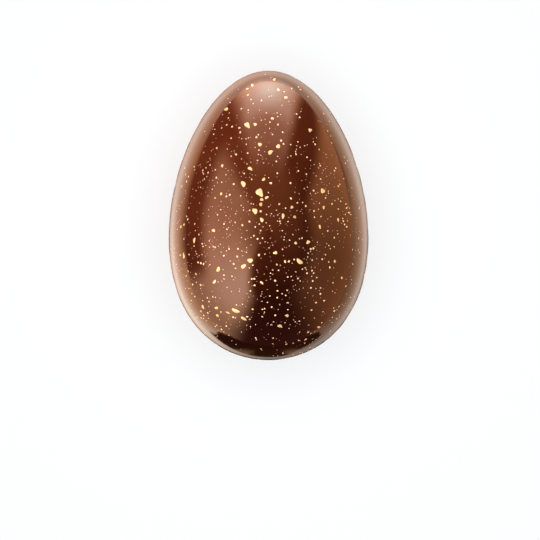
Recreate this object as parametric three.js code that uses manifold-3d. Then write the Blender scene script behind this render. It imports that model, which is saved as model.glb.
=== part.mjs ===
// A moulded chocolate egg, splashed all over with drops of gold colour, lying on its back half.
// Millimetres, +Z up. The long axis runs along Y, with the narrow end at +Y. The origin is under the
// middle of the egg's length, on the surface that it lies on, and +Z is the side that faces the buyer.
// The egg was cast as two half shells, which meet in a thin raised seam round its widest outline.

import * as THREE from "three";
import { mergeVertices } from "three/addons/utils/BufferGeometryUtils.js";
import Module from "manifold-3d";

// Driving dimensions of the egg
const EGG_LENGTH = 150;
const EGG_WIDTH = 103.4;
const WIDEST_SHIFT = 11.7; // from the middle of the length towards the blunt end
const FLAT_DEPTH = 1; // how far the small flat that it rests on cuts into the round
const SEAM_HEIGHT = 0.3;
const SEAM_WIDTH = 1.1;
const SEAM_CHAMFER = 0.25;

// How finely the egg is faceted
const RINGS = 34;
const SEGMENTS = 48;
const NEAR = 1e-4; // corners closer than this are one, and it is the step for a slope

// The shape of a gold drop
const LEAST_CORNERS = 5; // on the smallest drops
const CORNER_STEP = 1.8; // one corner more for each such length
const DROP_ROOT = 0.7; // how deep a drop's solid reaches into the chocolate
const DROP_RIM_SHARE = 0.82; // the upper ring's size and height as shares of the whole drop's
const DROP_RIM_LIFT = 0.8;
const DROP_HEIGHT_SHARE = 0.13; // a drop's height as a share of its breadth
const DROP_LEAST_HEIGHT = 0.2;
const DROP_MOST_HEIGHT = 0.34;
const MOST_TAPER = 0.25; // how much narrower one end can be
const TWO_LOBES = 0.1; // how far the edge wanders from an oval, as shares of the size
const THREE_LOBES = 0.12;

// How the scattered drops lie
const SCATTERED_DROPS = 160;
const BACK_ONLY_DROPS = 48; // the largest scattered drops lie on the back half
const LARGEST_SCATTERED = 3.4;
const SMALLEST_SCATTERED = 0.8;
const SIZE_FALL = 3.9; // how quickly the sizes fall from the largest to the smallest
const LEAST_BREADTH = 0.55; // breadth as a share of the length
const MOST_BREADTH = 0.95;
const DROP_GAP = 0.45; // free chocolate between two drops
const FLAT_MARGIN = 2; // no drop lies lower than this
const SEAM_DENSITY = 0.25; // how thick the gold lies at the seam, as a share of the middle of a half
const DRIFT_MEAN = 0.65;
const DRIFT_SWING = 0.17;
const FIRST_DRIFT = { across: 17, along: 23, start: 1.1 }; // millimetres for each radian
const SECOND_DRIFT = { across: 41, along: 31, up: 19 };

// The random numbers
const SEED = 4127;
const DRAW_FACTOR = 16807;
const DRAW_MODULUS = 2147483647;

// The largest drops on the side that faces the buyer, as seen from above:
// across to the right, along to the narrow end, length, breadth, and the turn of the length in degrees.
const LARGE_DROPS = [
  [-4.5, 11.5, 4.4, 3.5, 115],
  [-17, -49.5, 4.6, 2.1, -20],
  [-11, 46.5, 4.2, 2.1, 122],
  [16, -24, 4.1, 2.1, -45],
  [-7, 2, 3.3, 2.4, 110],
  [-13, 16, 3.2, 2.3, 108],
  [-13, -53.5, 3.2, 1.7, -40],
  [-13, -26.5, 3.1, 1.9, 25],
  [-9.5, 24, 3, 1.5, 138],
  [-44, -21, 3, 1.6, 78],
  [6, -57.5, 3, 1.6, -42],
  [-26, -28, 2.9, 2, 45],
  [1, 32.5, 2.9, 1.9, 30],
  [28, 12.5, 2.8, 2.3, 120],
  [-9.5, -23.5, 2.7, 2.4, 10],
  [3, 70.5, 2.8, 1.3, 70],
  [-38.5, -13, 2.7, 1.6, 75],
  [-22, 55, 2.6, 1.9, -12],
  [-8.5, 67.5, 2.6, 1.3, 110],
  [-3.5, -2.5, 2.6, 1.6, 130],
  [7.5, -0.5, 2.6, 1.5, 95],
  [-28, -34.5, 2.6, 1.5, 40],
  [9, 61, 2.5, 1.5, 50],
  [-28.5, -8, 2.5, 1.4, -10],
  [-34, -47.5, 2.5, 1.7, 95],
  [-4.5, 36.5, 2.4, 1.7, -15],
  [5, 35.5, 2.3, 2.1, 0],
  [-4, 5.5, 2.2, 1.5, 90],
  [21.5, 44, 2.2, 1.9, 60],
  [20.5, -14, 2.1, 1.8, 5],
  [3.5, -19.5, 2.1, 1.7, 30],
  [9.5, -52, 2.2, 1.5, -40],
  [-27, -48, 2.2, 1.6, 20],
  [-26.5, -52, 1.8, 1.6, 60],
  [-21, -50.5, 2.2, 1.1, -15],
  [-7, 47, 2.3, 1.4, -50],
  [-2.5, 18.5, 1.9, 1.4, 60],
  [-1, 9, 2.1, 1.3, 20],
  [-3.5, 8, 1.7, 1.5, 0],
  [12, 4, 1.7, 1.3, 30],
  [13.5, -1, 1.6, 1.4, 0],
  [28.5, 4, 1.7, 1.3, 70],
  [26.5, -6, 2.1, 1.3, 110],
  [5, 65, 2.1, 1.5, 70],
  [-3.5, -35, 2.1, 1.1, -50],
  [26, -58, 2.6, 1.1, -40],
  [-24, 25.5, 1.7, 1.4, 90],
  [2, 50, 1.7, 1.4, 0],
  [36, -2.5, 1.9, 1.3, 100],
  [-45.5, -6, 1.8, 1.3, 30],
  [14, -14.5, 1.5, 1.3, 0],
  [-24.5, 11, 1.5, 1.4, 0],
];

const HALF_LENGTH = EGG_LENGTH / 2;
const HALF_WIDTH = EGG_WIDTH / 2;
const AXIS_HEIGHT = HALF_WIDTH - FLAT_DEPTH;
const POINTEDNESS = (2 * WIDEST_SHIFT) / EGG_LENGTH;
const FULL_TURN = 2 * Math.PI;

const wasm = await Module();
wasm.setup();

// The egg's outline: a is 0 at the narrow tip and PI at the blunt one.
function outlinePoint(a) {
  const squeeze = Math.sqrt(1 + 2 * POINTEDNESS * Math.cos(a) + POINTEDNESS ** 2);
  return new THREE.Vector2((HALF_WIDTH * Math.sin(a)) / squeeze, HALF_LENGTH * Math.cos(a));
}

// The surface at outline angle a, turned round the long axis by t from +X:
// the point, the outward normal and the direction of the meridian.
function surfaceFrame(a, t) {
  const slope = outlinePoint(a + NEAR).sub(outlinePoint(a - NEAR)).normalize();
  const spoke = new THREE.Vector3(Math.cos(t), 0, Math.sin(t));
  const axis = new THREE.Vector3(0, 1, 0);
  const { x: radius, y } = outlinePoint(a);
  return {
    point: spoke.clone().multiplyScalar(radius).add(new THREE.Vector3(0, y, AXIS_HEIGHT)),
    normal: spoke.clone().multiplyScalar(-slope.y).addScaledVector(axis, slope.x),
    meridian: spoke.clone().multiplyScalar(slope.x).addScaledVector(axis, slope.y),
  };
}

// A closed geometry as a solid that can be joined and cut.
function solidOf(geometry) {
  const bare = geometry.index ? geometry.toNonIndexed() : geometry.clone();
  bare.deleteAttribute("normal");
  bare.deleteAttribute("uv");
  const merged = mergeVertices(bare, NEAR);
  const corners = merged.index.array;
  const triangles = [];
  for (let i = 0; i < corners.length; i += 3) {
    const [p, q, r] = corners.subarray(i, i + 3);
    if (p !== q && q !== r && r !== p) {
      triangles.push(p, q, r);
    }
  }
  return new wasm.Manifold(
    new wasm.Mesh({
      numProp: 3,
      vertProperties: merged.attributes.position.array,
      triVerts: new Uint32Array(triangles),
    }),
  );
}

function geometryOf(solid) {
  const { vertProperties, triVerts } = solid.getMesh();
  const geometry = new THREE.BufferGeometry();
  geometry.setAttribute("position", new THREE.BufferAttribute(vertProperties, 3));
  geometry.setIndex(new THREE.BufferAttribute(triVerts, 1));
  return geometry;
}

// The smooth egg: its outline turned round the long axis.
function eggSolid() {
  const profile = [];
  for (let i = 0; i <= RINGS; i++) {
    profile.push(outlinePoint(Math.PI * (1 - i / RINGS)));
  }
  profile[0].x = 0;
  profile[RINGS].x = 0;
  return solidOf(new THREE.LatheGeometry(profile, SEGMENTS).translate(0, 0, AXIS_HEIGHT));
}

// The seam: a thin chamfered plate of the egg's outline, which stands proud all round.
function seamSolid() {
  const corners = 2 * RINGS;
  const outline = [];
  for (let i = 0; i < corners; i++) {
    const point = outlinePoint((FULL_TURN * i) / corners);
    const reach = 1 + (SEAM_HEIGHT - SEAM_CHAMFER) / point.length();
    outline.push(point.multiplyScalar(reach));
  }
  const plate = new THREE.ExtrudeGeometry(new THREE.Shape(outline), {
    depth: SEAM_WIDTH - 2 * SEAM_CHAMFER,
    bevelEnabled: true,
    bevelSegments: 1,
    bevelSize: SEAM_CHAMFER,
    bevelThickness: SEAM_CHAMFER,
  });
  return solidOf(plate.translate(0, 0, AXIS_HEIGHT - SEAM_WIDTH / 2 + SEAM_CHAMFER));
}

// The surface that the egg lies on, as a block that cuts its round back flat.
function floorSolid() {
  const depth = HALF_WIDTH;
  return solidOf(new THREE.BoxGeometry(EGG_WIDTH, EGG_LENGTH, depth).translate(0, 0, -depth / 2));
}

// Evenly spread random numbers from 0 to 1, the same on every run.
function seededDraw(seed) {
  let state = seed;
  return () => {
    state = (state * DRAW_FACTOR) % DRAW_MODULUS;
    return state / DRAW_MODULUS;
  };
}

// How a drop's edge wanders from a plain oval, drawn afresh for each drop.
function drawLobes(draw) {
  const taper = MOST_TAPER * (2 * draw() - 1);
  const two = FULL_TURN * draw();
  const three = FULL_TURN * draw();
  return { taper, two, three };
}

// A place on a drop's edge, along its length and across it.
function dropOutline(drop, angle) {
  const { taper, two, three } = drop.lobes;
  const lobes = TWO_LOBES * Math.cos(2 * angle + two) + THREE_LOBES * Math.cos(3 * angle + three);
  const u = (drop.length / 2) * Math.cos(angle) * (1 + lobes);
  const v = (drop.breadth / 2) * Math.sin(angle) * (1 + lobes) * (1 - taper * Math.cos(angle));
  return [u, v];
}

// The drops placed by hand, on the half that faces up.
function largeDrops(draw) {
  return LARGE_DROPS.map(([across, along, length, breadth, turn]) => {
    const a = Math.acos(along / HALF_LENGTH);
    const t = Math.acos(across / outlinePoint(a).x);
    const frame = surfaceFrame(a, t);
    const radians = THREE.MathUtils.degToRad(turn);
    const seen = new THREE.Vector3(Math.cos(radians), Math.sin(radians), 0);
    const forward = seen.addScaledVector(frame.normal, -seen.dot(frame.normal)).normalize();
    return { frame, forward, length, breadth, lobes: drawLobes(draw) };
  });
}

// The rest, from the largest to the smallest: each takes the first free place that is drawn for it.
function scatteredDrops(draw, taken) {
  const drops = [];
  for (let k = 0; k < SCATTERED_DROPS; k++) {
    const share = Math.exp((-SIZE_FALL * k) / SCATTERED_DROPS);
    const length = SMALLEST_SCATTERED + (LARGEST_SCATTERED - SMALLEST_SCATTERED) * share;
    const breadth = length * (LEAST_BREADTH + (MOST_BREADTH - LEAST_BREADTH) * draw());
    const turn = Math.PI * draw();
    const lobes = drawLobes(draw);
    const frame = freePlace(draw, [...taken, ...drops], length / 2, k < BACK_ONLY_DROPS);
    const round = new THREE.Vector3().crossVectors(frame.normal, frame.meridian);
    const forward = frame.meridian.clone().multiplyScalar(Math.cos(turn));
    forward.addScaledVector(round, Math.sin(turn));
    drops.push({ frame, forward, length, breadth, lobes });
  }
  return drops;
}

// A place with room for a drop of this reach, clear of the other drops, the seam and the flat.
function freePlace(draw, others, reach, backOnly) {
  for (;;) {
    const a = Math.PI * draw();
    const t = FULL_TURN * draw() - Math.PI;
    const chance = draw();
    const frame = surfaceFrame(a, t);
    const height = frame.point.z - AXIS_HEIGHT;
    const thinly = chance * HALF_WIDTH > outlinePoint(a).x * splashDensity(frame.point);
    const nearSeam = Math.abs(height) < SEAM_WIDTH / 2 + reach + DROP_GAP;
    const nearFlat = frame.point.z < FLAT_MARGIN;
    const wrongHalf = backOnly && height > 0;
    if (thinly || nearSeam || nearFlat || wrongHalf) {
      continue;
    }
    const room = reach + DROP_GAP;
    if (others.every((other) => other.frame.point.distanceTo(frame.point) > other.length / 2 + room)) {
      return frame;
    }
  }
}

// Each half was splashed from straight ahead, so the gold lies thinner towards the seam, and in drifts.
function splashDensity(point) {
  const facing = Math.abs(point.z - AXIS_HEIGHT) / HALF_WIDTH;
  const first = point.x / FIRST_DRIFT.across + point.y / FIRST_DRIFT.along + FIRST_DRIFT.start;
  const second = point.y / SECOND_DRIFT.along - point.x / SECOND_DRIFT.across + point.z / SECOND_DRIFT.up;
  const drift = DRIFT_MEAN + DRIFT_SWING * (Math.sin(first) + Math.sin(second));
  return (SEAM_DENSITY + (1 - SEAM_DENSITY) * facing) * drift;
}

// One drop: a root ring in the chocolate, a smaller ring that stands proud and a low crown.
function dropSolid(drop) {
  const { frame, forward, length, breadth } = drop;
  const corners = LEAST_CORNERS + Math.floor(length / CORNER_STEP);
  const sideways = new THREE.Vector3().crossVectors(frame.normal, forward);
  const height = THREE.MathUtils.clamp(DROP_HEIGHT_SHARE * breadth, DROP_LEAST_HEIGHT, DROP_MOST_HEIGHT);
  const place = (u, v, lift) => {
    const point = frame.point.clone().addScaledVector(frame.normal, lift);
    return point.addScaledVector(forward, u).addScaledVector(sideways, v);
  };
  const points = [place(0, 0, -DROP_ROOT), place(0, 0, height)];
  for (let i = 0; i < corners; i++) {
    const [u, v] = dropOutline(drop, (FULL_TURN * i) / corners);
    points.push(place(u, v, -DROP_ROOT));
    points.push(place(u * DROP_RIM_SHARE, v * DROP_RIM_SHARE, height * DROP_RIM_LIFT));
  }
  return solidOf(new THREE.BufferGeometry().setFromPoints(points).setIndex(dropFaces(corners)));
}

// The faces of a drop whose points are its root's middle, its top, and then a root and a rim corner in turn.
function dropFaces(corners) {
  const faces = [];
  for (let i = 0; i < corners; i++) {
    const root = 2 + 2 * i;
    const rim = root + 1;
    const nextRoot = 2 + 2 * ((i + 1) % corners);
    const nextRim = nextRoot + 1;
    faces.push(0, nextRoot, root);
    faces.push(1, rim, nextRim);
    faces.push(root, nextRoot, nextRim);
    faces.push(root, nextRim, rim);
  }
  return faces;
}

function chocolateEgg() {
  const draw = seededDraw(SEED);
  const large = largeDrops(draw);
  const drops = [...large, ...scatteredDrops(draw, large)];
  const bare = eggSolid().add(seamSolid());
  const splashed = drops.reduce((body, drop) => body.add(dropSolid(drop)), bare);
  const material = new THREE.MeshStandardMaterial({ color: 0x6b331a, roughness: 0.18, metalness: 0 });
  const mesh = new THREE.Mesh(geometryOf(splashed.subtract(floorSolid())), material);
  mesh.name = "chocolate_egg";
  return mesh;
}

const part = new THREE.Group();
part.add(chocolateEgg());

export default part;
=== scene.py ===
"""A moulded chocolate egg splashed with drops of gold colour, lying on its back half.

Everything is in metres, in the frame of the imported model: the long axis runs along Y, with the
narrow end at +Y, and +Z is the side that faces the buyer. The file is laid out as an add-on and
run as a script: one operator for each kind of piece, one for the stage, and main calls them.
"""

import math

import bpy
import numpy as np
from bpy.props import FloatProperty, FloatVectorProperty, IntProperty, PointerProperty
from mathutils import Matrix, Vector


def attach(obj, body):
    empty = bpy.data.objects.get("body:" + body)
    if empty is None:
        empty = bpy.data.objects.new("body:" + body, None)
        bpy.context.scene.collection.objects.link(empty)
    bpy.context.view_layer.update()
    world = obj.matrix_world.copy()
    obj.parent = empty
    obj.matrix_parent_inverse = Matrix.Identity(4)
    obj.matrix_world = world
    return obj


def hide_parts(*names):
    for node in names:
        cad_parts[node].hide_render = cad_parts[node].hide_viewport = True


bl_info = {
    "name": "Chocolate egg",
    "version": (1, 0, 0),
    "blender": (4, 5, 0),
    "location": "3D View > Sidebar > Chocolate egg",
    "description": "Builds a glossy moulded chocolate egg with gold splashes, and its stage",
    "category": "Add Mesh",
}

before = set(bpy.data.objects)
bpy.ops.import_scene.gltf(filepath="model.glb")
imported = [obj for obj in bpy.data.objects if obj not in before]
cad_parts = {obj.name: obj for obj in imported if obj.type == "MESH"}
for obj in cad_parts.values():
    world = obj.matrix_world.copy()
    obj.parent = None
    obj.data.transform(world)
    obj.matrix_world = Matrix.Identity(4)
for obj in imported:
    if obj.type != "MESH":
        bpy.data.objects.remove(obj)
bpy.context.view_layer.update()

MM = 0.001
NODE = "chocolate_egg"

# How the gold drops were splashed, the same values as in the solid
SPLASH_SEED = 4127
TONE_SEED = 90577  # how pale each drop is
SCATTERED_DROPS = 160
BACK_ONLY_DROPS = 48  # the largest scattered drops lie on the back half
LARGEST_SCATTERED = 3.4 * MM
SMALLEST_SCATTERED = 0.8 * MM
SIZE_FALL = 3.9
DROP_GAP = 0.45 * MM
FLAT_MARGIN = 2.0 * MM
LEAST_ROUNDNESS = 0.55  # a scattered drop's breadth for its length, and how much more it may be
ROUNDNESS_SPREAD = 0.4
MOST_TAPER = 0.25
TWO_LOBES = 0.1  # how far an outline swells and shrinks, twice and three times round
THREE_LOBES = 0.12
DROP_HEIGHT_SHARE = 0.13
DROP_LEAST_HEIGHT = 0.2 * MM
DROP_MOST_HEIGHT = 0.34 * MM

# The largest drops on the side that faces the buyer, in millimetres and degrees as seen from above:
# across to the right, along to the narrow end, length, breadth, and the turn of the length.
LARGE_DROPS = (
    (-4.5, 11.5, 4.4, 3.5, 115),
    (-17, -49.5, 4.6, 2.1, -20),
    (-11, 46.5, 4.2, 2.1, 122),
    (16, -24, 4.1, 2.1, -45),
    (-7, 2, 3.3, 2.4, 110),
    (-13, 16, 3.2, 2.3, 108),
    (-13, -53.5, 3.2, 1.7, -40),
    (-13, -26.5, 3.1, 1.9, 25),
    (-9.5, 24, 3, 1.5, 138),
    (-44, -21, 3, 1.6, 78),
    (6, -57.5, 3, 1.6, -42),
    (-26, -28, 2.9, 2, 45),
    (1, 32.5, 2.9, 1.9, 30),
    (28, 12.5, 2.8, 2.3, 120),
    (-9.5, -23.5, 2.7, 2.4, 10),
    (3, 70.5, 2.8, 1.3, 70),
    (-38.5, -13, 2.7, 1.6, 75),
    (-22, 55, 2.6, 1.9, -12),
    (-8.5, 67.5, 2.6, 1.3, 110),
    (-3.5, -2.5, 2.6, 1.6, 130),
    (7.5, -0.5, 2.6, 1.5, 95),
    (-28, -34.5, 2.6, 1.5, 40),
    (9, 61, 2.5, 1.5, 50),
    (-28.5, -8, 2.5, 1.4, -10),
    (-34, -47.5, 2.5, 1.7, 95),
    (-4.5, 36.5, 2.4, 1.7, -15),
    (5, 35.5, 2.3, 2.1, 0),
    (-4, 5.5, 2.2, 1.5, 90),
    (21.5, 44, 2.2, 1.9, 60),
    (20.5, -14, 2.1, 1.8, 5),
    (3.5, -19.5, 2.1, 1.7, 30),
    (9.5, -52, 2.2, 1.5, -40),
    (-27, -48, 2.2, 1.6, 20),
    (-26.5, -52, 1.8, 1.6, 60),
    (-21, -50.5, 2.2, 1.1, -15),
    (-7, 47, 2.3, 1.4, -50),
    (-2.5, 18.5, 1.9, 1.4, 60),
    (-1, 9, 2.1, 1.3, 20),
    (-3.5, 8, 1.7, 1.5, 0),
    (12, 4, 1.7, 1.3, 30),
    (13.5, -1, 1.6, 1.4, 0),
    (28.5, 4, 1.7, 1.3, 70),
    (26.5, -6, 2.1, 1.3, 110),
    (5, 65, 2.1, 1.5, 70),
    (-3.5, -35, 2.1, 1.1, -50),
    (26, -58, 2.6, 1.1, -40),
    (-24, 25.5, 1.7, 1.4, 90),
    (2, 50, 1.7, 1.4, 0),
    (36, -2.5, 1.9, 1.3, 100),
    (-45.5, -6, 1.8, 1.3, 30),
    (14, -14.5, 1.5, 1.3, 0),
    (-24.5, 11, 1.5, 1.4, 0),
)

# One drop from its foot in the chocolate to its top: share of the outline, then lift in drop heights
DROP_PROFILE = ((1.0, -0.7), (1.0, 0.0), (0.95, 0.45), (0.85, 0.78), (0.62, 0.95), (0.32, 1.0))
DROP_CORNERS = 22
NEAR = 1e-4  # a small step along the outline, for its slope


def length_of(name, description, millimetres):
    return FloatProperty(name=name, description=description, default=millimetres * MM, unit="LENGTH")


def colour_of(name, description, colour):
    return FloatVectorProperty(name=name, description=description, default=colour, subtype="COLOR")


class EggSizes(bpy.types.PropertyGroup):
    """The moulded shell."""

    length: length_of("Length", "Narrow tip to blunt end", 150)
    width: length_of("Width", "Across the widest place", 103.4)
    widest_shift: length_of("Widest shift", "From mid-length towards the blunt end", 11.7)
    flat_depth: length_of("Flat depth", "How far the resting flat cuts into the round", 1.0)
    seam_height: length_of("Seam height", "How far the seam of the two halves stands proud", 0.3)
    seam_width: length_of("Seam width", "Breadth of that seam at its foot", 1.1)
    unevenness: length_of("Unevenness", "How far the cast surface wanders from the true egg", 0.05)


class SpeckSizes(bpy.types.PropertyGroup):
    """The fine gold specks."""

    spacing: length_of("Spacing", "Least distance between two specks", 1.1)
    density: FloatProperty(
        name="Density", description="Specks for each square metre where they lie thickest", default=176000
    )
    smallest: length_of("Smallest", "Radius of the smallest speck", 0.13)
    largest: length_of("Largest", "Radius of the largest speck", 0.57)
    clearance: length_of("Clearance", "Least distance from the points of a larger drop", 1.3)
    seed: IntProperty(name="Seed", description="Another number gives another splash", default=11)


class EggColours(bpy.types.PropertyGroup):
    """Colours of the chocolate and the gold."""

    chocolate: colour_of("Chocolate", "Most of the shell", (0.178, 0.0325, 0.0082))
    chocolate_dark: colour_of("Darker chocolate", "In the cast's darker clouds", (0.145, 0.025, 0.0063))
    gold: colour_of("Gold", "Most of each drop", (0.84, 0.62, 0.28))
    gold_pale: colour_of("Pale gold", "The palest drops", (0.91, 0.77, 0.51))
    gold_fine: colour_of("Fine gold", "The finest specks", (1.0, 0.77, 0.68))
    gold_edge: colour_of("Amber", "Where a drop thins out", (0.55, 0.28, 0.07))


class StageSizes(bpy.types.PropertyGroup):
    """The camera over the egg."""

    view_width: length_of("View width", "Breadth of the view at the seam's height", 281)
    view_across: length_of("View across", "The middle of the view, to the right of the egg's", 0.73)
    view_along: length_of("View along", "The middle of the view, past the egg's", -28.4)
    lens: FloatProperty(name="Lens", description="Focal length", default=900, unit="CAMERA")


# Node trees


def add_node(tree, kind, **settings):
    node = tree.nodes.new(kind)
    for name, value in settings.items():
        setattr(node, name, value)
    return node


def feed(tree, socket, term):
    """Wires a socket to another node's output, or gives it a plain value."""
    if isinstance(term, bpy.types.NodeSocket):
        tree.links.new(term, socket)
    else:
        socket.default_value = term


def fed(tree, node, terms):
    """Feeds a node's named inputs, and returns the node."""
    for name, term in terms.items():
        feed(tree, node.inputs[name], term)
    return node


def computed(tree, kind, *terms, **settings):
    """The first output of a new node that is fed with these terms in order."""
    node = add_node(tree, kind, **settings)
    for socket, term in zip(node.inputs, terms):
        feed(tree, socket, term)
    return node.outputs[0]


def maths(tree, operation, *terms):
    return computed(tree, "ShaderNodeMath", *terms, operation=operation)


def vector_maths(tree, operation, *terms):
    return computed(tree, "ShaderNodeVectorMath", *terms, operation=operation)


def scaled(tree, vector, scale):
    node = add_node(tree, "ShaderNodeVectorMath", operation="SCALE")
    return fed(tree, node, {"Vector": vector, "Scale": scale}).outputs[0]


def combine(tree, x, y, z):
    return computed(tree, "ShaderNodeCombineXYZ", x, y, z)


def separate(tree, vector):
    return fed(tree, add_node(tree, "ShaderNodeSeparateXYZ"), {"Vector": vector}).outputs


def total(tree, *terms):
    result = terms[0]
    for term in terms[1:]:
        result = maths(tree, "ADD", result, term)
    return result


def product(tree, *terms):
    result = terms[0]
    for term in terms[1:]:
        result = maths(tree, "MULTIPLY", result, term)
    return result


def difference(tree, first, second):
    return maths(tree, "SUBTRACT", first, second)


def apart(tree, first, second):
    """How far apart two values are."""
    return maths(tree, "ABSOLUTE", difference(tree, first, second))


def distance_of(tree, across, along):
    return maths(tree, "SQRT", total(tree, product(tree, across, across), product(tree, along, along)))


def attribute_value(tree, name):
    return add_node(tree, "ShaderNodeAttribute", attribute_name=name).outputs["Fac"]


def remap(tree, value, low, high, to_low=0.0, to_high=1.0):
    """Eases a value from one range into another, and holds it at the ends."""
    terms = (value, low, high, to_low, to_high)
    return computed(tree, "ShaderNodeMapRange", *terms, interpolation_type="SMOOTHSTEP")


def noise(tree, vector, scale, detail=2.0, output="Fac"):
    node = add_node(tree, "ShaderNodeTexNoise")
    return fed(tree, node, {"Vector": vector, "Scale": scale, "Detail": detail}).outputs[output]


def sockets(kind, *names):
    return [(name, kind) for name in names]


def new_group(name, kind, inputs, outputs):
    """A node group with named sockets: the tree, what it is given and where its results go."""
    tree = bpy.data.node_groups.new(name, kind)
    for in_out, wanted in (("INPUT", inputs), ("OUTPUT", outputs)):
        for socket_name, socket_kind in wanted:
            tree.interface.new_socket(socket_name, in_out=in_out, socket_type="NodeSocket" + socket_kind)
    given = add_node(tree, "NodeGroupInput")
    result = add_node(tree, "NodeGroupOutput")
    return tree, given.outputs, result.inputs


def grown_piece(name, source, tree, inputs):
    """Runs a Geometry Nodes tree on a mesh and keeps what it makes as a plain piece."""
    piece = bpy.data.objects.new(name, source)
    bpy.context.scene.collection.objects.link(piece)
    modifier = piece.modifiers.new("shape", "NODES")
    modifier.node_group = tree
    for item in tree.interface.items_tree:
        if item.in_out == "INPUT" and item.name in inputs:
            modifier[item.identifier] = inputs[item.name]
    depsgraph = bpy.context.evaluated_depsgraph_get()
    mesh = bpy.data.meshes.new_from_object(
        piece.evaluated_get(depsgraph), preserve_all_data_layers=True, depsgraph=depsgraph
    )
    if not mesh.polygons:
        raise RuntimeError(f"{name} came out empty")
    piece.modifiers.remove(modifier)
    piece.data = mesh
    mesh.name = name
    return piece


# The true surface of the egg


def egg_sizes():
    return bpy.context.scene.egg_sizes


def outline_point(a):
    """Distance from the long axis, and y, at outline angle a: 0 at the narrow tip, pi at the blunt one."""
    sizes = egg_sizes()
    pointedness = 2 * sizes.widest_shift / sizes.length
    squeeze = math.sqrt(1 + 2 * pointedness * math.cos(a) + pointedness**2)
    return sizes.width / 2 * math.sin(a) / squeeze, sizes.length / 2 * math.cos(a)


def axis_height():
    return egg_sizes().width / 2 - egg_sizes().flat_depth


def surface_frame(a, t):
    """Point, outward normal and meridian at outline angle a, turned round the long axis by t from +X."""
    ahead, behind = outline_point(a + NEAR), outline_point(a - NEAR)
    along = np.subtract(ahead, behind) / math.dist(ahead, behind)
    spoke = np.array((math.cos(t), 0, math.sin(t)))
    axis = np.array((0, 1, 0))
    radius, y = outline_point(a)
    point = spoke * radius + axis * y + np.array((0, 0, axis_height()))
    return point, spoke * -along[1] + axis * along[0], spoke * along[0] + axis * along[1]


# The gold drops, in the same places as in the solid


def seeded_draws(seed):
    """Evenly spread random numbers from 0 to 1, the same on every run."""
    state = seed
    while True:
        state = state * 16807 % 2147483647
        yield state / 2147483647


def draw_lobes(draws):
    return 2 * MOST_TAPER * (next(draws) - 0.5), math.tau * next(draws), math.tau * next(draws)


def drop_outline(drop, angle):
    taper, two, three = drop["lobes"]
    wander = 1 + TWO_LOBES * math.cos(2 * angle + two) + THREE_LOBES * math.cos(3 * angle + three)
    u = drop["length"] / 2 * math.cos(angle) * wander
    v = drop["breadth"] / 2 * math.sin(angle) * wander * (1 - taper * math.cos(angle))
    return u, v


def as_drop(point, normal, forward, length, breadth, lobes):
    return dict(point=point, normal=normal, forward=forward, length=length, breadth=breadth, lobes=lobes)


def large_drops(draws):
    drops = []
    for across, along, length, breadth, turn in LARGE_DROPS:
        a = math.acos(along * MM / (egg_sizes().length / 2))
        t = math.acos(across * MM / outline_point(a)[0])
        point, normal, _ = surface_frame(a, t)
        seen = np.array((math.cos(math.radians(turn)), math.sin(math.radians(turn)), 0))
        forward = seen - normal * seen.dot(normal)
        forward /= np.linalg.norm(forward)
        drops.append(as_drop(point, normal, forward, length * MM, breadth * MM, draw_lobes(draws)))
    return drops


def scattered_drops(draws, taken):
    """The rest, from the largest to the smallest: each takes the first free place drawn for it."""
    drops = []
    for k in range(SCATTERED_DROPS):
        fall = math.exp(-SIZE_FALL * (k / SCATTERED_DROPS))
        length = SMALLEST_SCATTERED + (LARGEST_SCATTERED - SMALLEST_SCATTERED) * fall
        breadth = length * (LEAST_ROUNDNESS + ROUNDNESS_SPREAD * next(draws))
        turn = math.pi * next(draws)
        lobes = draw_lobes(draws)
        point, normal, meridian = free_place(draws, taken + drops, length / 2, k < BACK_ONLY_DROPS)
        forward = meridian * math.cos(turn) + np.cross(normal, meridian) * math.sin(turn)
        drops.append(as_drop(point, normal, forward, length, breadth, lobes))
    return drops


def free_place(draws, others, reach, back_only):
    """A place with room for a drop of this reach, clear of the other drops, the seam and the flat."""
    sizes = egg_sizes()
    while True:
        a = math.pi * next(draws)
        t = math.tau * next(draws) - math.pi
        chance = next(draws)
        point, normal, meridian = surface_frame(a, t)
        height = point[2] - axis_height()
        thinly = chance * sizes.width / 2 > outline_point(a)[0] * splash_density(point)
        near_seam = abs(height) < sizes.seam_width / 2 + reach + DROP_GAP
        wrong_half = back_only and height > 0
        if thinly or near_seam or point[2] < FLAT_MARGIN or wrong_half:
            continue
        if all(math.dist(o["point"], point) > o["length"] / 2 + reach + DROP_GAP for o in others):
            return point, normal, meridian


def splash_density(point):
    """Each half was splashed from straight ahead: thinner towards the seam, and in drifts."""
    x, y, z = point / MM
    facing = abs(point[2] - axis_height()) / (egg_sizes().width / 2)
    drift = math.sin(x / 17 + y / 23 + 1.1) + math.sin(y / 31 - x / 41 + z / 19)
    return (0.25 + 0.75 * facing) * (0.65 + 0.17 * drift)


def on_surface(point, lift):
    """The place over or under the egg's true surface that is nearest along the spoke."""
    half_length = egg_sizes().length / 2
    a = math.acos(max(-1.0, min(1.0, point[1] / half_length)))
    t = math.atan2(point[2] - axis_height(), point[0])
    place, normal, _ = surface_frame(a, t)
    return place + normal * lift


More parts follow.
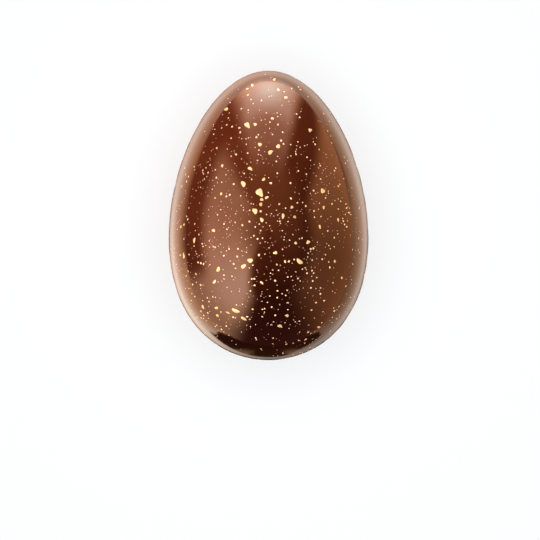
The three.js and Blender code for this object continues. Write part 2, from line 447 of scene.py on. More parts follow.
def drop_mesh(drop):
    """One drop as a low dome: corners, faces, and how near its edge each corner is."""
    sideways = np.cross(drop["normal"], drop["forward"])
    height = min(max(DROP_HEIGHT_SHARE * drop["breadth"], DROP_LEAST_HEIGHT), DROP_MOST_HEIGHT)
    corners, edges, faces = [], [], []
    for share, lift in DROP_PROFILE:
        for i in range(DROP_CORNERS):
            u, v = drop_outline(drop, math.tau * i / DROP_CORNERS)
            flat_place = drop["point"] + (drop["forward"] * u + sideways * v) * share
            corners.append(on_surface(flat_place, lift * height))
            edges.append(share)
    top = len(corners)
    corners.append(on_surface(drop["point"], height))
    edges.append(0.0)
    for ring in range(len(DROP_PROFILE) - 1):
        for i in range(DROP_CORNERS):
            j = (i + 1) % DROP_CORNERS
            low, high = ring * DROP_CORNERS, (ring + 1) * DROP_CORNERS
            faces.append((low + i, low + j, high + j, high + i))
    last = (len(DROP_PROFILE) - 1) * DROP_CORNERS
    faces += [(last + i, last + (i + 1) % DROP_CORNERS, top) for i in range(DROP_CORNERS)]
    faces.append(tuple(reversed(range(DROP_CORNERS))))
    return corners, faces, edges


# Materials

CHOCOLATE_ROUGHNESS = (0.08, 0.12)
CHOCOLATE_RELIEF = 0.02 * MM
GOLD_ROUGHNESS = (0.32, 0.5)
GOLD_RELIEF = 0.03 * MM
TONE_SHARE = 0.6  # of a drop's paleness is its own, the rest its rim's
AMBER_TONES = (0.05, 0.13)  # drops of a lower tone are half amber


def cast_texture_group():
    """Mottling and fine relief of a surface that set in a mould, from the piece's own coordinates."""
    name = "cast_texture"
    if name in bpy.data.node_groups:
        return bpy.data.node_groups[name]
    tree, given, result = new_group(
        name,
        "ShaderNodeTree",
        sockets("Vector", "Vector") + sockets("Float", "Mottle scale", "Grain scale", "Grain share"),
        sockets("Float", "Mottle", "Height"),
    )
    mottle = noise(tree, given["Vector"], given["Mottle scale"], detail=4)
    grain = noise(tree, given["Vector"], given["Grain scale"], detail=4)
    tree.links.new(mottle, result["Mottle"])
    tree.links.new(total(tree, mottle, product(tree, grain, given["Grain share"])), result["Height"])
    return tree


def new_material(name):
    material = bpy.data.materials.new(name)
    material.use_nodes = True
    return material, material.node_tree, material.node_tree.nodes["Principled BSDF"]


def own_coordinates(tree):
    return add_node(tree, "ShaderNodeTexCoord").outputs["Object"]


def cast_texture(tree, mottle_scale, grain_scale, grain_share):
    node = add_node(tree, "ShaderNodeGroup", node_tree=cast_texture_group())
    terms = {
        "Vector": own_coordinates(tree),
        "Mottle scale": mottle_scale,
        "Grain scale": grain_scale,
        "Grain share": grain_share,
    }
    return fed(tree, node, terms).outputs


def blend_colours(tree, share, first, second):
    node = add_node(tree, "ShaderNodeMix", data_type="RGBA")
    feed(tree, node.inputs["Factor"], share)
    for socket, colour in ((node.inputs[6], first), (node.inputs[7], second)):
        feed(tree, socket, colour if isinstance(colour, bpy.types.NodeSocket) else (*colour, 1))
    return node.outputs[2]


def relief(tree, height, distance):
    bump = add_node(tree, "ShaderNodeBump")
    return fed(tree, bump, {"Distance": distance, "Height": height}).outputs["Normal"]


def chocolate_material():
    colours = bpy.context.scene.egg_colours
    material, tree, shader = new_material("glossy_chocolate")
    texture = cast_texture(tree, mottle_scale=45, grain_scale=420, grain_share=0.06)
    shade = remap(tree, texture["Mottle"], 0.3, 0.7)
    terms = {
        "Base Color": blend_colours(tree, shade, colours.chocolate_dark, colours.chocolate),
        "Roughness": remap(tree, texture["Mottle"], 0.3, 0.75, *CHOCOLATE_ROUGHNESS),
        "IOR": 1.5,
        "Normal": relief(tree, texture["Height"], CHOCOLATE_RELIEF),
    }
    fed(tree, shader, terms)
    return material


def gold_material():
    colours = bpy.context.scene.egg_colours
    material, tree, shader = new_material("gold_colour")
    texture = cast_texture(tree, mottle_scale=900, grain_scale=3500, grain_share=0.5)
    tone, edge, fineness = (attribute_value(tree, name) for name in ("tone", "edge", "fineness"))

    # A drop is paler towards its edge, and some are paler all over; a few are half amber
    rim = remap(tree, edge, 0.25, 0.8, 0.0, 1.0 - TONE_SHARE)
    paleness = total(tree, product(tree, tone, TONE_SHARE), rim)
    clean = blend_colours(tree, paleness, colours.gold, colours.gold_pale)
    amber = remap(tree, tone, *AMBER_TONES, 0.5, 0.0)
    thick = blend_colours(tree, amber, clean, colours.gold_edge)
    body = blend_colours(tree, fineness, thick, colours.gold_fine)

    # It thins out to amber at its very edge, unevenly
    uneven_edge = total(tree, edge, product(tree, texture["Mottle"], 0.3))
    thinning = remap(tree, uneven_edge, 0.95, 1.2, 0.0, 0.85)
    terms = {
        "Base Color": blend_colours(tree, thinning, body, colours.gold_edge),
        "Roughness": remap(tree, texture["Mottle"], 0.3, 0.7, *GOLD_ROUGHNESS),
        "Metallic": 0.25,
        "Normal": relief(tree, texture["Height"], GOLD_RELIEF),
    }
    fed(tree, shader, terms)
    return material


# The shell

LOWEST_BEAD = 0.45  # of the seam's height, where its bead is lowest
BEAD_SCALE = 90
WANDER_SCALE = 28
ROWS_ACROSS, ROWS_ALONG, ROWS_UP = 104, 144, 116
CLOSENESS = 0.15  # of the rows at the seam, 1 being even


def shell_tree(material):
    """The egg as a rounded box bent to the egg's formula, with its rows drawn together at the seam."""
    tree, given, result = new_group(
        "moulded_shell",
        "GeometryNodeTree",
        sockets("Float", "Length", "Width", "Widest shift", "Flat depth")
        + sockets("Float", "Seam height", "Seam width", "Unevenness", "Closeness at the seam")
        + sockets("Int", "Rows across", "Rows along", "Rows up"),
        sockets("Geometry", "Geometry"),
    )
    box = add_node(tree, "GeometryNodeMeshCube")
    box.inputs["Size"].default_value = (2, 2, 2)
    for axis, rows in (("X", "Rows across"), ("Y", "Rows along"), ("Z", "Rows up")):
        tree.links.new(given[rows], box.inputs["Vertices " + axis])

    x, y, z = separate(tree, add_node(tree, "GeometryNodeInputPosition").outputs[0])
    close = given["Closeness at the seam"]
    spread = product(tree, difference(tree, 1.0, close), maths(tree, "ABSOLUTE", z))
    z = product(tree, z, total(tree, close, spread))
    tangents = [maths(tree, "TANGENT", product(tree, part, math.pi / 4)) for part in (x, y, z)]
    sx, sy, sz = separate(tree, vector_maths(tree, "NORMALIZE", combine(tree, *tangents)))

    half_width = product(tree, given["Width"], 0.5)
    half_length = product(tree, given["Length"], 0.5)
    pointedness = maths(tree, "DIVIDE", given["Widest shift"], half_length)
    squared = total(tree, 1.0, product(tree, 2.0, pointedness, sy), product(tree, pointedness, pointedness))
    spoke = maths(tree, "DIVIDE", half_width, maths(tree, "SQRT", squared))
    sides = product(tree, sx, spoke), product(tree, sy, half_length), product(tree, sz, spoke)
    place = combine(tree, *sides)

    # The outward normal follows from the egg's formula
    round_share = total(tree, product(tree, sx, sx), product(tree, sz, sz))
    lean = product(tree, pointedness, maths(tree, "DIVIDE", round_share, squared))
    steepness = maths(tree, "DIVIDE", maths(tree, "SQRT", squared), half_width)
    along = maths(tree, "DIVIDE", total(tree, sy, lean), half_length)
    slope = combine(tree, product(tree, sx, steepness), along, product(tree, sz, steepness))
    outward = vector_maths(tree, "NORMALIZE", slope)

    # The seam stands proud in a rounded bead of uneven height, and the whole cast wanders a little
    from_seam = maths(tree, "ABSOLUTE", separate(tree, place)[2])
    bead = remap(tree, from_seam, 0.0, product(tree, given["Seam width"], 0.5), 1.0, 0.0)
    bead_level = remap(tree, noise(tree, place, BEAD_SCALE, detail=3), 0.25, 0.6, LOWEST_BEAD, 1.0)
    seam = product(tree, bead, bead_level, given["Seam height"])
    wander = difference(tree, noise(tree, place, WANDER_SCALE, detail=1), 0.5)
    lift = total(tree, seam, product(tree, wander, given["Unevenness"], 2.0))
    moved = vector_maths(tree, "ADD", place, scaled(tree, outward, lift))

    # The underside is cut flat where the egg rests
    px, py, pz = separate(tree, moved)
    stood = total(tree, pz, half_width, product(tree, given["Flat depth"], -1.0))
    cut = combine(tree, px, py, maths(tree, "MAXIMUM", stood, 0.0))
    set_position = add_node(tree, "GeometryNodeSetPosition")
    fed(tree, set_position, {"Geometry": box.outputs["Mesh"], "Position": cut})
    finish_tree(tree, set_position.outputs["Geometry"], material, result["Geometry"])
    return tree


def finish_tree(tree, geometry, material, result):
    """Real geometry in place of instances, smooth shading and the material."""
    for kind in ("GeometryNodeRealizeInstances", "GeometryNodeSetShadeSmooth", "GeometryNodeSetMaterial"):
        node = add_node(tree, kind)
        tree.links.new(geometry, node.inputs["Geometry"])
        geometry = node.outputs["Geometry"]
    node.inputs["Material"].default_value = material
    tree.links.new(geometry, result)


class EGG_OT_shell(bpy.types.Operator):
    """Cast the chocolate shell"""

    bl_idname = "egg.shell"
    bl_label = "Chocolate shell"

    def execute(self, context):
        sizes = context.scene.egg_sizes
        shell = grown_piece(
            "shell",
            bpy.data.meshes.new("shell_start"),
            shell_tree(chocolate_material()),
            {
                "Length": sizes.length,
                "Width": sizes.width,
                "Widest shift": sizes.widest_shift,
                "Flat depth": sizes.flat_depth,
                "Seam height": sizes.seam_height,
                "Seam width": sizes.seam_width,
                "Unevenness": sizes.unevenness,
                "Rows across": ROWS_ACROSS,
                "Rows along": ROWS_ALONG,
                "Rows up": ROWS_UP,
                "Closeness at the seam": CLOSENESS,
            },
        )
        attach(shell, "root")
        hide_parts(NODE)
        return {"FINISHED"}


class EGG_OT_gold_splashes(bpy.types.Operator):
    """Splash on the larger drops of gold colour"""

    bl_idname = "egg.gold_splashes"
    bl_label = "Gold splashes"

    def execute(self, context):
        draws = seeded_draws(SPLASH_SEED)
        large = large_drops(draws)
        corners, faces, edges, tones = [], [], [], []
        tone_draws = seeded_draws(TONE_SEED)
        for drop in large + scattered_drops(draws, large):
            first = len(corners)
            drop_corners, drop_faces, drop_edges = drop_mesh(drop)
            corners += drop_corners
            faces += [tuple(first + corner for corner in face) for face in drop_faces]
            edges += drop_edges
            tones += [next(tone_draws)] * len(drop_corners)
        mesh = bpy.data.meshes.new("gold_splashes")
        mesh.from_pydata(corners, [], faces)
        mesh.attributes.new("edge", "FLOAT", "POINT").data.foreach_set("value", edges)
        mesh.attributes.new("tone", "FLOAT", "POINT").data.foreach_set("value", tones)
        mesh.shade_smooth()
        mesh.materials.append(gold_material())
        splashes = bpy.data.objects.new("gold_splashes", mesh)
        context.scene.collection.objects.link(splashes)
        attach(splashes, "root")
        return {"FINISHED"}


# The specks: fewest in a bare patch by the middle, and most of them small
DRIFT_SCALE = 34
FEWEST_IN_DRIFTS = 0.4
FEWEST_AT_TIP = 0.45
FEWEST_AT_SEAM = 0.12
BARE_ACROSS, BARE_ALONG = 6 * MM, 15 * MM
BARE_INNER, BARE_OUTER = 6 * MM, 16 * MM
FEWEST_IN_BARE = 0.25
SPECK_SEGMENTS, SPECK_RINGS = 10, 4
SIZE_POWER = 2.3
SPECK_HEIGHT_SHARE = 0.3
SPECK_STRETCH = (0.85, 1.4)
SPECK_RAISE = 0.03 * MM
FINE_RADIUS, COARSE_RADIUS = 0.2 * MM, 0.5 * MM
RIPPLE_SCALE = 900
RIPPLE_REACH = 0.1 * MM


def speck_tree(material, splashes):
    """Fine specks strewn over the shell, clear of the larger drops and of the flat it rests on."""
    tree, given, result = new_group(
        "gold_specks",
        "GeometryNodeTree",
        sockets("Geometry", "Geometry")
        + sockets("Float", "Spacing", "Density", "Smallest", "Largest")
        + sockets("Float", "Clearance", "Flat margin", "Seam level")
        + sockets("Int", "Seed"),
        sockets("Geometry", "Geometry"),
    )
    position = add_node(tree, "GeometryNodeInputPosition").outputs[0]
    x, y, z = separate(tree, position)

    # Thick in drifts, thickest on the broad part, and thin towards the seam
    drifts = remap(tree, noise(tree, position, DRIFT_SCALE), 0.34, 0.64, FEWEST_IN_DRIFTS, 1.0)
    broad = remap(tree, y, 10 * MM, 75 * MM, 1.0, FEWEST_AT_TIP)
    from_seam = apart(tree, z, given["Seam level"])
    facing = remap(tree, from_seam, 0.0, given["Seam level"], FEWEST_AT_SEAM, 1.0)
    above_flat = maths(tree, "GREATER_THAN", z, given["Flat margin"])
    from_bare = distance_of(tree, difference(tree, x, BARE_ACROSS), difference(tree, y, BARE_ALONG))
    bare_patch = remap(tree, from_bare, BARE_INNER, BARE_OUTER, FEWEST_IN_BARE, 1.0)
    density = product(tree, drifts, broad, facing, above_flat, bare_patch)

    scatter = add_node(tree, "GeometryNodeDistributePointsOnFaces", distribute_method="POISSON")
    terms = {
        "Mesh": given["Geometry"],
        "Distance Min": given["Spacing"],
        "Density Max": given["Density"],
        "Density Factor": density,
        "Seed": given["Seed"],
    }
    fed(tree, scatter, terms)

    # A speck that would touch a larger drop is left out
    drops = fed(tree, add_node(tree, "GeometryNodeObjectInfo"), {"Object": splashes})
    nearest = add_node(tree, "GeometryNodeProximity", target_element="POINTS")
    tree.links.new(drops.outputs["Geometry"], nearest.inputs[0])
    crowded = maths(tree, "LESS_THAN", nearest.outputs["Distance"], given["Clearance"])
    thin_out = add_node(tree, "GeometryNodeDeleteGeometry", domain="POINT")
    fed(tree, thin_out, {"Geometry": scatter.outputs["Points"], "Selection": crowded})

    # Each speck is a low dome, round or drawn out, and most are small
    dome = add_node(tree, "GeometryNodeMeshUVSphere")
    fed(tree, dome, {"Segments": SPECK_SEGMENTS, "Rings": SPECK_RINGS, "Radius": 1})
    edged = store(tree, dome.outputs["Mesh"], "edge", distance_of(tree, x, y), "POINT")
    size_share = maths(tree, "POWER", random_value(tree, 0.0, 1.0, seed=3), SIZE_POWER)
    size_range = difference(tree, given["Largest"], given["Smallest"])
    size = total(tree, given["Smallest"], product(tree, size_range, size_share))
    drawn_out = product(tree, size, random_value(tree, *SPECK_STRETCH, seed=4))
    stretch = combine(tree, drawn_out, size, product(tree, size, SPECK_HEIGHT_SHARE))
    turn = add_node(tree, "FunctionNodeRotateRotation", rotation_space="LOCAL")
    spin = combine(tree, 0.0, 0.0, random_value(tree, 0.0, math.tau, seed=5))
    fed(tree, turn, {"Rotation": scatter.outputs["Rotation"], "Rotate By": spin})
    terms = {
        "Points": thin_out.outputs["Geometry"],
        "Instance": edged,
        "Rotation": turn.outputs[0],
        "Scale": stretch,
    }
    strew = fed(tree, add_node(tree, "GeometryNodeInstanceOnPoints"), terms)
    raised = add_node(tree, "GeometryNodeTranslateInstances")
    fed(tree, raised, {"Instances": strew.outputs["Instances"], "Translation": (0, 0, SPECK_RAISE)})
    tone = random_value(tree, 0.0, 1.0, seed=6)
    toned = store(tree, raised.outputs["Instances"], "tone", tone, "INSTANCE")
    fineness = remap(tree, size, FINE_RADIUS, COARSE_RADIUS, 1.0, 0.3)
    graded = store(tree, toned, "fineness", fineness, "INSTANCE")

    # Their outlines wander, as those of real drops do
    realize = fed(tree, add_node(tree, "GeometryNodeRealizeInstances"), {"Geometry": graded})
    ripple = noise(tree, position, RIPPLE_SCALE, output="Color")
    offset = scaled(tree, vector_maths(tree, "SUBTRACT", ripple, (0.5, 0.5, 0.5)), RIPPLE_REACH)
    wobble = add_node(tree, "GeometryNodeSetPosition")
    fed(tree, wobble, {"Geometry": realize.outputs["Geometry"], "Offset": offset})
    finish_tree(tree, wobble.outputs["Geometry"], material, result["Geometry"])
    return tree


def store(tree, geometry, name, value, domain):
    node = add_node(tree, "GeometryNodeStoreNamedAttribute", data_type="FLOAT", domain=domain)
    node.inputs["Name"].default_value = name
    tree.links.new(geometry, node.inputs["Geometry"])
    feed(tree, node.inputs["Value"], value)
    return node.outputs["Geometry"]


def random_value(tree, low, high, seed):
    node = add_node(tree, "FunctionNodeRandomValue", data_type="FLOAT")
    node.inputs[2].default_value = low
    node.inputs[3].default_value = high
    node.inputs["Seed"].default_value = seed
    return node.outputs[1]


class EGG_OT_gold_specks(bpy.types.Operator):
    """Strew the fine specks of gold colour"""

    bl_idname = "egg.gold_specks"
    bl_label = "Gold specks"

    def execute(self, context):
        sizes = context.scene.speck_sizes
        splashes = bpy.data.objects["gold_splashes"]
        specks = grown_piece(
            "gold_specks",
            bpy.data.objects["shell"].data,
            speck_tree(splashes.data.materials[0], splashes),
            {
                "Spacing": sizes.spacing,
                "Density": sizes.density,
                "Smallest": sizes.smallest,
                "Largest": sizes.largest,
                "Seed": sizes.seed,
                "Clearance": sizes.clearance,
                "Flat margin": FLAT_MARGIN,
                "Seam level": axis_height(),
            },
        )
        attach(specks, "root")
        return {"FINISHED"}


# The stage

# Places are in metres, levels and powers are as Blender counts them, and angles are in degrees
FLOOR_COLOUR = (0.86, 0.86, 0.86)
FLOOR_REACH = 3.0
EGG_MIDDLE = (0, 0, 0.05)
OVER_SPLASHES = (0.05, -0.4, 1.2)
OVER_TABLE = (0, 0, 2.2)
COOL_WHITE = (0.94, 0.985, 1.0)
BACKDROP = (0.86, 0.86, 0.85)
ROOM_COLOUR, ROOM_LEVEL = (1.0, 0.75, 0.55), 0.04

# The mirrored room is a dome, left open overhead where it is dark, for the lamps on the gold
DOME_COLUMNS, DOME_ROWS = 144, 44
DOME_RADIUS = 0.23
DOME_MIDDLE = 0.06
DOME_OPENING = 0.2
DIM_ROOM = (0.16, 0.045, 0.045)  # wherever no window is
LEAST_GLOW = DIM_ROOM[0] + 0.02

# Green and blue as shares of red in dim light, and how much they grow with the square of the level
BACK_TINT = ((0.47, 0.27), (0.0031, 0.0036))
LEFT_TINT = ((0.50, 0.27), (0.0008, 0.0014))
RIGHT_TINT = ((0.37, 0.12), (0.002, 0.0025))

# Levels: the least, what a window or the wall gains over these angles, and the brightest place
BACK_LEVEL, BACK_GAIN, BACK_LOW = 3.4, 3.3, (34, 14)
BRIGHTEST_GAIN, BRIGHTEST_AT, BRIGHTEST_REACH = 4.4, 90, 27
LEFT_LEVEL, LEFT_GAIN, LEFT_ROUND = 4.0, 4.6, (155, 230)
RIGHT_LEVEL, RIGHT_GAIN, RIGHT_ROUND = 1.6, 1.4, (345, 392)
CEILING_LEVEL = 0.5
TABLE_SHARE = 0.36  # of the left window's light, down at the table

# Edges of the windows and the wall, each from where its light begins to where it is full
BACK_FROM_RIGHT, BACK_TO_LEFT, BACK_TOP = (57, 69), (127, 110), (62, 36)
LEFT_FROM_BACK, LEFT_TO_FRONT, LEFT_TOP = (133, 150), (256, 236), (88, 48)
LEFT_SILL, LEFT_TO_TABLE, SILL_ENDS = (5, 26), (-12, 34), (195, 208)
RIGHT_FROM_FRONT, RIGHT_TO_BACK, RIGHT_TOP = (288, 326), (408, 394), (52, 33)
CEILING = (42, 62)
LEFT_SLANT, LEFT_SLANT_FROM, RIGHT_SLANT = 0.9, 42, 0.4

# What the gloss sees of the table, as ramps: from one place to another, and from one level to another
LEFT_TO_RIGHT = (-0.06, 0.06)
LEFT_TABLE = (-0.08, 0.05, 3.4, 2.4)
RIGHT_TABLE = (-0.12, 0.03, 1.25, 2.15)
FAR_LEFT, FAR_LEFT_BEGINS = (-0.21, -0.13, 0.68, 0.0), (-0.06, -0.02)
STRIP_MIDDLE, STRIP, STRIP_DEEPENS = 0.195, (0.008, 0.042, 0.5, 0.0), (0.02, 0.07, 0.4, 1.0)
BEHIND_EGG, BEHIND_GROWS = (0.06, 0.13, 1.0, 0.0), (0.10, 0.22, 0.0, 4.4)
DEEPEST_SHADE, SHADE_REACH = (-0.025, 0.035, 0.12, 0.33), (1.05, 1.75)
FRONT_SHADE, FRONT_SHADE_ENDS = (0.045, 0.09, 0.5, 0.0), (-0.12, -0.07, 1.0, 0.0)
# A painted dark bar in what the gloss sees before the blunt end, with painted light in its gaps
HALF_BAR, BAR_SIDE = (-0.16, -0.11, 0.098, 0.070), (-0.004, 0.004, 1.0, 0.0)
BAR_FRONT, BAR_EDGE = (0.012, 0.035, -0.103, -0.116), (-0.004, 0.002, 1.0, 0.0)
GAP_MIDDLE, GAP, GAP_ENDS = 0.026, (0.004, 0.011, 0.5, 0.0), (-0.165, -0.11)
BAR_LEVEL = 0.05
WARM_OUTSIDE, WARM_ENDS = (1.5, 3.0), (0.11, 0.19, 1.0, 0.0)
NEAR_TABLE, FAR_TABLE = (1.0, 0.77, 0.62), (1.0, 0.52, 0.28)

# What else the table gives: light thrown up on the egg, glow where the lamps end, a painted shadow under
# the egg
BOUNCE = (-0.12, 0.0, 0.3, 0.6)
FAR_OFF = (0.3, 2.4, 0.0, 0.8)
PAINTED_SHADOW_UNDER_EGG = (0.25, 0.95, 0.3, 1.0)


def glow_material(name):
    """Glows as the mesh's own attribute says, colour and level in one."""
    material, tree, shader = new_material(name)
    terms = {
        "Base Color": (0, 0, 0, 1),
        "Specular IOR Level": 0,
        "Emission Color": add_node(tree, "ShaderNodeAttribute", attribute_name="glow").outputs["Color"],
        "Emission Strength": 1,
    }
    fed(tree, shader, terms)
    return material


def ease(value, start, end):
    """From 0 at the start to 1 at the end, gently, and held beyond both."""
    share = min(1.0, max(0.0, (value - start) / (end - start)))
    return share * share * (3 - 2 * share)


def back_level(azimuth, elevation):
    """A tall window behind the narrow end, brightest low down."""
    brightest = ease(math.hypot(azimuth - BRIGHTEST_AT, elevation), BRIGHTEST_REACH, 0)
    level = BACK_LEVEL + BACK_GAIN * ease(elevation, *BACK_LOW) + BRIGHTEST_GAIN * brightest
    level *= ease(azimuth, *BACK_FROM_RIGHT) * ease(azimuth, *BACK_TO_LEFT) * ease(elevation, *BACK_TOP)
    return level


def left_level(azimuth, elevation):
    """A broad window on the left, brighter towards the front, where it reaches down to the table."""
    slanted = azimuth + LEFT_SLANT * max(0, elevation - LEFT_SLANT_FROM)
    level = LEFT_LEVEL + LEFT_GAIN * ease(azimuth, *LEFT_ROUND)
    level *= ease(azimuth, *LEFT_FROM_BACK) * ease(slanted, *LEFT_TO_FRONT)
    level *= ease(elevation, *LEFT_TOP)
    over_sill = ease(elevation, *LEFT_SILL)
    to_table = TABLE_SHARE + (1 - TABLE_SHARE) * ease(elevation, *LEFT_TO_TABLE)
    return level * (over_sill + (to_table - over_sill) * ease(azimuth, *SILL_ENDS))


def right_level(azimuth, elevation):
    """A dim wall on the right, and a dimmer ceiling."""
    past_right = azimuth + 360 if azimuth < 180 else azimuth
    slanted = past_right + RIGHT_SLANT * elevation
    level = RIGHT_LEVEL + RIGHT_GAIN * ease(past_right, *RIGHT_ROUND)
    level *= ease(past_right, *RIGHT_FROM_FRONT) * ease(slanted, *RIGHT_TO_BACK)
    level *= ease(elevation, *RIGHT_TOP)
    return level + CEILING_LEVEL * (1 + math.sin(math.radians(azimuth))) * ease(elevation, *CEILING)


def room_glow(azimuth, elevation):
    """The room's light from one direction: the azimuth from +X, the elevation from level."""
    back, left, right = (side(azimuth, elevation) for side in (back_level, left_level, right_level))
    return DIM_ROOM + glow(back, *BACK_TINT) + glow(left, *LEFT_TINT) + glow(right, *RIGHT_TINT)


def glow(level, dim_tint, paling):
    """A colour of this level: green and blue are the tint's shares of red, and grow with the level."""
    green, blue = np.array(dim_tint) + np.array(paling) * level**2
    return level * np.array((1.0, green, blue))


def reflected_room():
    """A dome over the egg that only its gloss sees."""
    foot = -math.degrees(math.asin(DOME_MIDDLE / DOME_RADIUS))
    places, glows, faces = [], [], []
    for i in range(DOME_COLUMNS):
        for j in range(DOME_ROWS):
            azimuth, elevation = 360 * i / DOME_COLUMNS, foot + (90 - foot) * j / DOME_ROWS
            a, e = math.radians(azimuth), math.radians(elevation)
            outward = np.array((math.cos(a) * math.cos(e), math.sin(a) * math.cos(e), math.sin(e)))
            places.append(outward * DOME_RADIUS + (0, 0, DOME_MIDDLE))
            glows.append(room_glow(azimuth, elevation))
    for i in range(DOME_COLUMNS):
        for j in range(DOME_ROWS - 1):
            low, next_low = i * DOME_ROWS + j, (i + 1) % DOME_COLUMNS * DOME_ROWS + j
            face = (low, next_low, next_low + 1, low + 1)
            overhead = places[low][2] > DOME_OPENING
            if not overhead or max(glows[corner][0] for corner in face) > LEAST_GLOW:
                faces.append(face)
    mesh = bpy.data.meshes.new("reflected_room")
    mesh.from_pydata(places, [], faces)
    colours = np.ravel([(*colour, 1) for colour in glows])
    mesh.attributes.new("glow", "FLOAT_COLOR", "POINT").data.foreach_set("color", colours)
    mesh.materials.append(glow_material("room_glow"))
    room = bpy.data.objects.new("reflected_room", mesh)
    bpy.context.scene.collection.objects.link(room)
    room.visible_camera = False
    room.visible_diffuse = False
    room.visible_shadow = False
    room.visible_transmission = False


def soft_light(name, place, size, power, colour, receivers, aim=EGG_MIDDLE, gloss=False):
    """A round lamp that lights only these objects."""
    data = bpy.data.lights.new(name, "AREA")
    data.shape = "DISK"
    data.size = size
    data.energy = power
    data.color = colour
    light = bpy.data.objects.new(name, data)
    light.location = place
    light.rotation_euler = (Vector(aim) - Vector(place)).to_track_quat("-Z", "Y").to_euler()
    light.visible_glossy = gloss
    light.visible_camera = False
    bpy.context.scene.collection.objects.link(light)
    group = bpy.data.collections.new(name + "_receivers")
    for receiver in receivers:
        group.objects.link(receiver)
    light.light_linking.receiver_collection = group
    return light


def mirrored_table(tree, x, y, sideways):
    """The lit tabletop, darker far off on the left and in a strip on the right."""
    rightness = remap(tree, x, *LEFT_TO_RIGHT)
    on_left = product(tree, remap(tree, y, *LEFT_TABLE), difference(tree, 1.0, rightness))
    sides = total(tree, on_left, product(tree, remap(tree, y, *RIGHT_TABLE), rightness))
    far_left = product(tree, remap(tree, x, *FAR_LEFT), remap(tree, y, *FAR_LEFT_BEGINS))
    strip = remap(tree, apart(tree, x, STRIP_MIDDLE), *STRIP)
    dark_strip = product(tree, strip, remap(tree, y, *STRIP_DEEPENS))
    dimming = product(tree, difference(tree, 1.0, far_left), difference(tree, 1.0, dark_strip))
    behind = product(tree, remap(tree, sideways, *BEHIND_EGG), remap(tree, y, *BEHIND_GROWS))
    return maths(tree, "MAXIMUM", product(tree, sides, dimming), behind)


def egg_shade(tree, y, sideways, round_egg):
    """What the egg's own shade leaves of the table's light, at its edge and before its blunt end."""
    shade = remap(tree, round_egg, *SHADE_REACH, remap(tree, y, *DEEPEST_SHADE), 1.0)
    dim_front = product(tree, remap(tree, sideways, *FRONT_SHADE), remap(tree, y, *FRONT_SHADE_ENDS))
    return shade, difference(tree, 1.0, dim_front)


def dark_bar(tree, x, y, sideways):
    """A painted dark reflection before the blunt end, as if something dark stood there, and what shows of
    the light in its gaps.
    """
    past_side = difference(tree, sideways, remap(tree, y, *HALF_BAR))
    past_edge = difference(tree, y, remap(tree, x, *BAR_FRONT))
    bar = product(tree, remap(tree, past_side, *BAR_SIDE), remap(tree, past_edge, *BAR_EDGE))
    gap = remap(tree, apart(tree, sideways, GAP_MIDDLE), *GAP)
    return bar, total(tree, product(tree, gap, remap(tree, y, *GAP_ENDS)), BAR_LEVEL)


def floor_material():
    """Pale to the eye, with a painted shadow under the egg, while the egg's gloss sees a painted reflection
    of a warm tabletop in it, as bright as the room needs.
    """
    material, tree, shader = new_material("pale_floor")
    x, y, _ = separate(tree, own_coordinates(tree))
    sideways = maths(tree, "ABSOLUTE", x)
    across = product(tree, x, x, 1 / (egg_sizes().width / 2) ** 2)
    along = product(tree, y, y, 1 / (egg_sizes().length / 2) ** 2)
    round_egg = maths(tree, "SQRT", total(tree, across, along))

    table = mirrored_table(tree, x, y, sideways)
    shade, before_front = egg_shade(tree, y, sideways, round_egg)
    bar, through_bar = dark_bar(tree, x, y, sideways)
    open_table = product(tree, table, shade, before_front)
    past_bar = product(tree, open_table, difference(tree, 1.0, bar))
    level = total(tree, past_bar, product(tree, through_bar, bar))
    warmth = product(tree, remap(tree, round_egg, *WARM_OUTSIDE), remap(tree, y, *WARM_ENDS))
    warmth = maths(tree, "MAXIMUM", warmth, bar)
    mirrored = blend_colours(tree, warmth, NEAR_TABLE, FAR_TABLE)

    # The lamps' light ends not far from the egg, so the floor glows by itself beyond
    path = add_node(tree, "ShaderNodeLightPath").outputs
    bounce = remap(tree, y, *BOUNCE)
    far_off = remap(tree, distance_of(tree, x, y), *FAR_OFF)
    strength = total(
        tree,
        product(tree, path["Is Glossy Ray"], level),
        product(tree, path["Is Diffuse Ray"], bounce),
        product(tree, path["Is Camera Ray"], far_off),
    )
    # A painted shadow darkens the floor's colour under the egg, as the camera sees it
    painted_shadow_under_egg = product(tree, path["Is Camera Ray"], remap(tree, round_egg, *PAINTED_SHADOW_UNDER_EGG))
    terms = {
        "Base Color": blend_colours(tree, painted_shadow_under_egg, (0, 0, 0), FLOOR_COLOUR),
        "Roughness": 0.8,
        "Specular IOR Level": 0,
        "Emission Color": blend_colours(tree, path["Is Camera Ray"], mirrored, (1, 1, 1)),
        "Emission Strength": strength,
    }
    fed(tree, shader, terms)
    return material


def add_floor():
    mesh = bpy.data.meshes.new("floor")
    corners = [(x * FLOOR_REACH, y * FLOOR_REACH, 0) for x, y in ((-1, -1), (1, -1), (1, 1), (-1, 1))]
    mesh.from_pydata(corners, [], [(0, 1, 2, 3)])
    mesh.materials.append(floor_material())
    floor = bpy.data.objects.new("floor", mesh)
    bpy.context.scene.collection.objects.link(floor)
    return floor


def add_camera():
    stage = bpy.context.scene.stage_sizes
    data = bpy.data.cameras.new("camera")
    data.lens = stage.lens
    distance = stage.view_width * data.lens / data.sensor_width
    camera = bpy.data.objects.new("camera", data)
    camera.location = (stage.view_across, stage.view_along, axis_height() + distance)
    bpy.context.scene.collection.objects.link(camera)
    bpy.context.scene.camera = camera


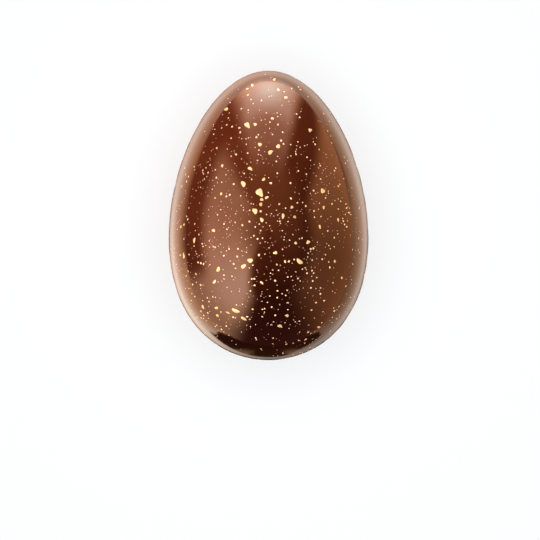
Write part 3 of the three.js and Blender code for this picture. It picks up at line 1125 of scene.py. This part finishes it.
def add_world():
    """A room that lights the egg dimly, before a pale backdrop that only the camera sees."""
    world = bpy.data.worlds.new("dim_room")
    world.use_nodes = True
    tree = world.node_tree
    seen = add_node(tree, "ShaderNodeLightPath").outputs["Is Camera Ray"]
    room = tree.nodes["Background"]
    tree.links.new(blend_colours(tree, seen, ROOM_COLOUR, BACKDROP), room.inputs["Color"])
    tree.links.new(remap(tree, seen, 0.0, 1.0, ROOM_LEVEL, 1.0), room.inputs["Strength"])
    bpy.context.scene.world = world


class EGG_OT_stage(bpy.types.Operator):
    """Set up the floor, the lamps, the mirrored room and the camera"""

    bl_idname = "egg.stage"
    bl_label = "Stage"

    def execute(self, context):
        floor = (add_floor(),)
        add_world()
        add_camera()
        egg = [bpy.data.objects[name] for name in ("shell", "gold_splashes", "gold_specks")]
        soft_light("key", (-0.62, 1.0, 0.62), 0.5, 13.5, (1.0, 0.96, 0.92), egg)
        soft_light("fill", (0.9, -0.3, 0.9), 1.0, 0.8, (1.0, 0.93, 0.88), egg)
        soft_light("gold_light", OVER_SPLASHES, 0.8, 14.3, (1.0, 0.96, 0.86), egg[1:], gloss=True)
        soft_light("speck_light", OVER_SPLASHES, 0.8, 6, (1.0, 0.96, 0.9), egg[2:], gloss=True)
        wash = soft_light("over_floor", OVER_TABLE, 0.25, 39, COOL_WHITE, floor, aim=(0, 0, 0))
        soft_light("round_floor", OVER_TABLE, 3.0, 26, COOL_WHITE, floor, aim=(0, 0, 0))

        # The small lamp over the floor throws no shadow of the egg
        wash.light_linking.blocker_collection = wash.light_linking.receiver_collection
        reflected_room()
        context.scene.view_settings.view_transform = "Standard"
        return {"FINISHED"}


class EGG_PT_panel(bpy.types.Panel):
    """Lists the egg's pieces and their sizes"""

    bl_idname = "EGG_PT_panel"
    bl_label = "Chocolate egg"
    bl_space_type = "VIEW_3D"
    bl_region_type = "UI"
    bl_category = "Chocolate egg"

    def draw(self, context):
        scene = context.scene
        for settings, operators in (
            (scene.egg_sizes, (EGG_OT_shell, EGG_OT_gold_splashes)),
            (scene.speck_sizes, (EGG_OT_gold_specks,)),
            (scene.egg_colours, ()),
            (scene.stage_sizes, (EGG_OT_stage,)),
        ):
            box = self.layout.box()
            for name in settings.bl_rna.properties.keys():
                if name not in ("rna_type", "name"):
                    box.prop(settings, name)
            for operator in operators:
                box.operator(operator.bl_idname)


GROUPS = {
    "egg_sizes": EggSizes,
    "speck_sizes": SpeckSizes,
    "egg_colours": EggColours,
    "stage_sizes": StageSizes,
}
OPERATORS = (EGG_OT_shell, EGG_OT_gold_splashes, EGG_OT_gold_specks, EGG_OT_stage)
CLASSES = (*GROUPS.values(), *OPERATORS, EGG_PT_panel)


def register():
    for cls in CLASSES:
        bpy.utils.register_class(cls)
    for name, group in GROUPS.items():
        setattr(bpy.types.Scene, name, PointerProperty(type=group))


def unregister():
    for name in GROUPS:
        delattr(bpy.types.Scene, name)
    for cls in reversed(CLASSES):
        bpy.utils.unregister_class(cls)


def main():
    register()
    bpy.ops.egg.shell()
    bpy.ops.egg.gold_splashes()
    bpy.ops.egg.gold_specks()
    bpy.ops.egg.stage()


if __name__ == "__main__":
    main()
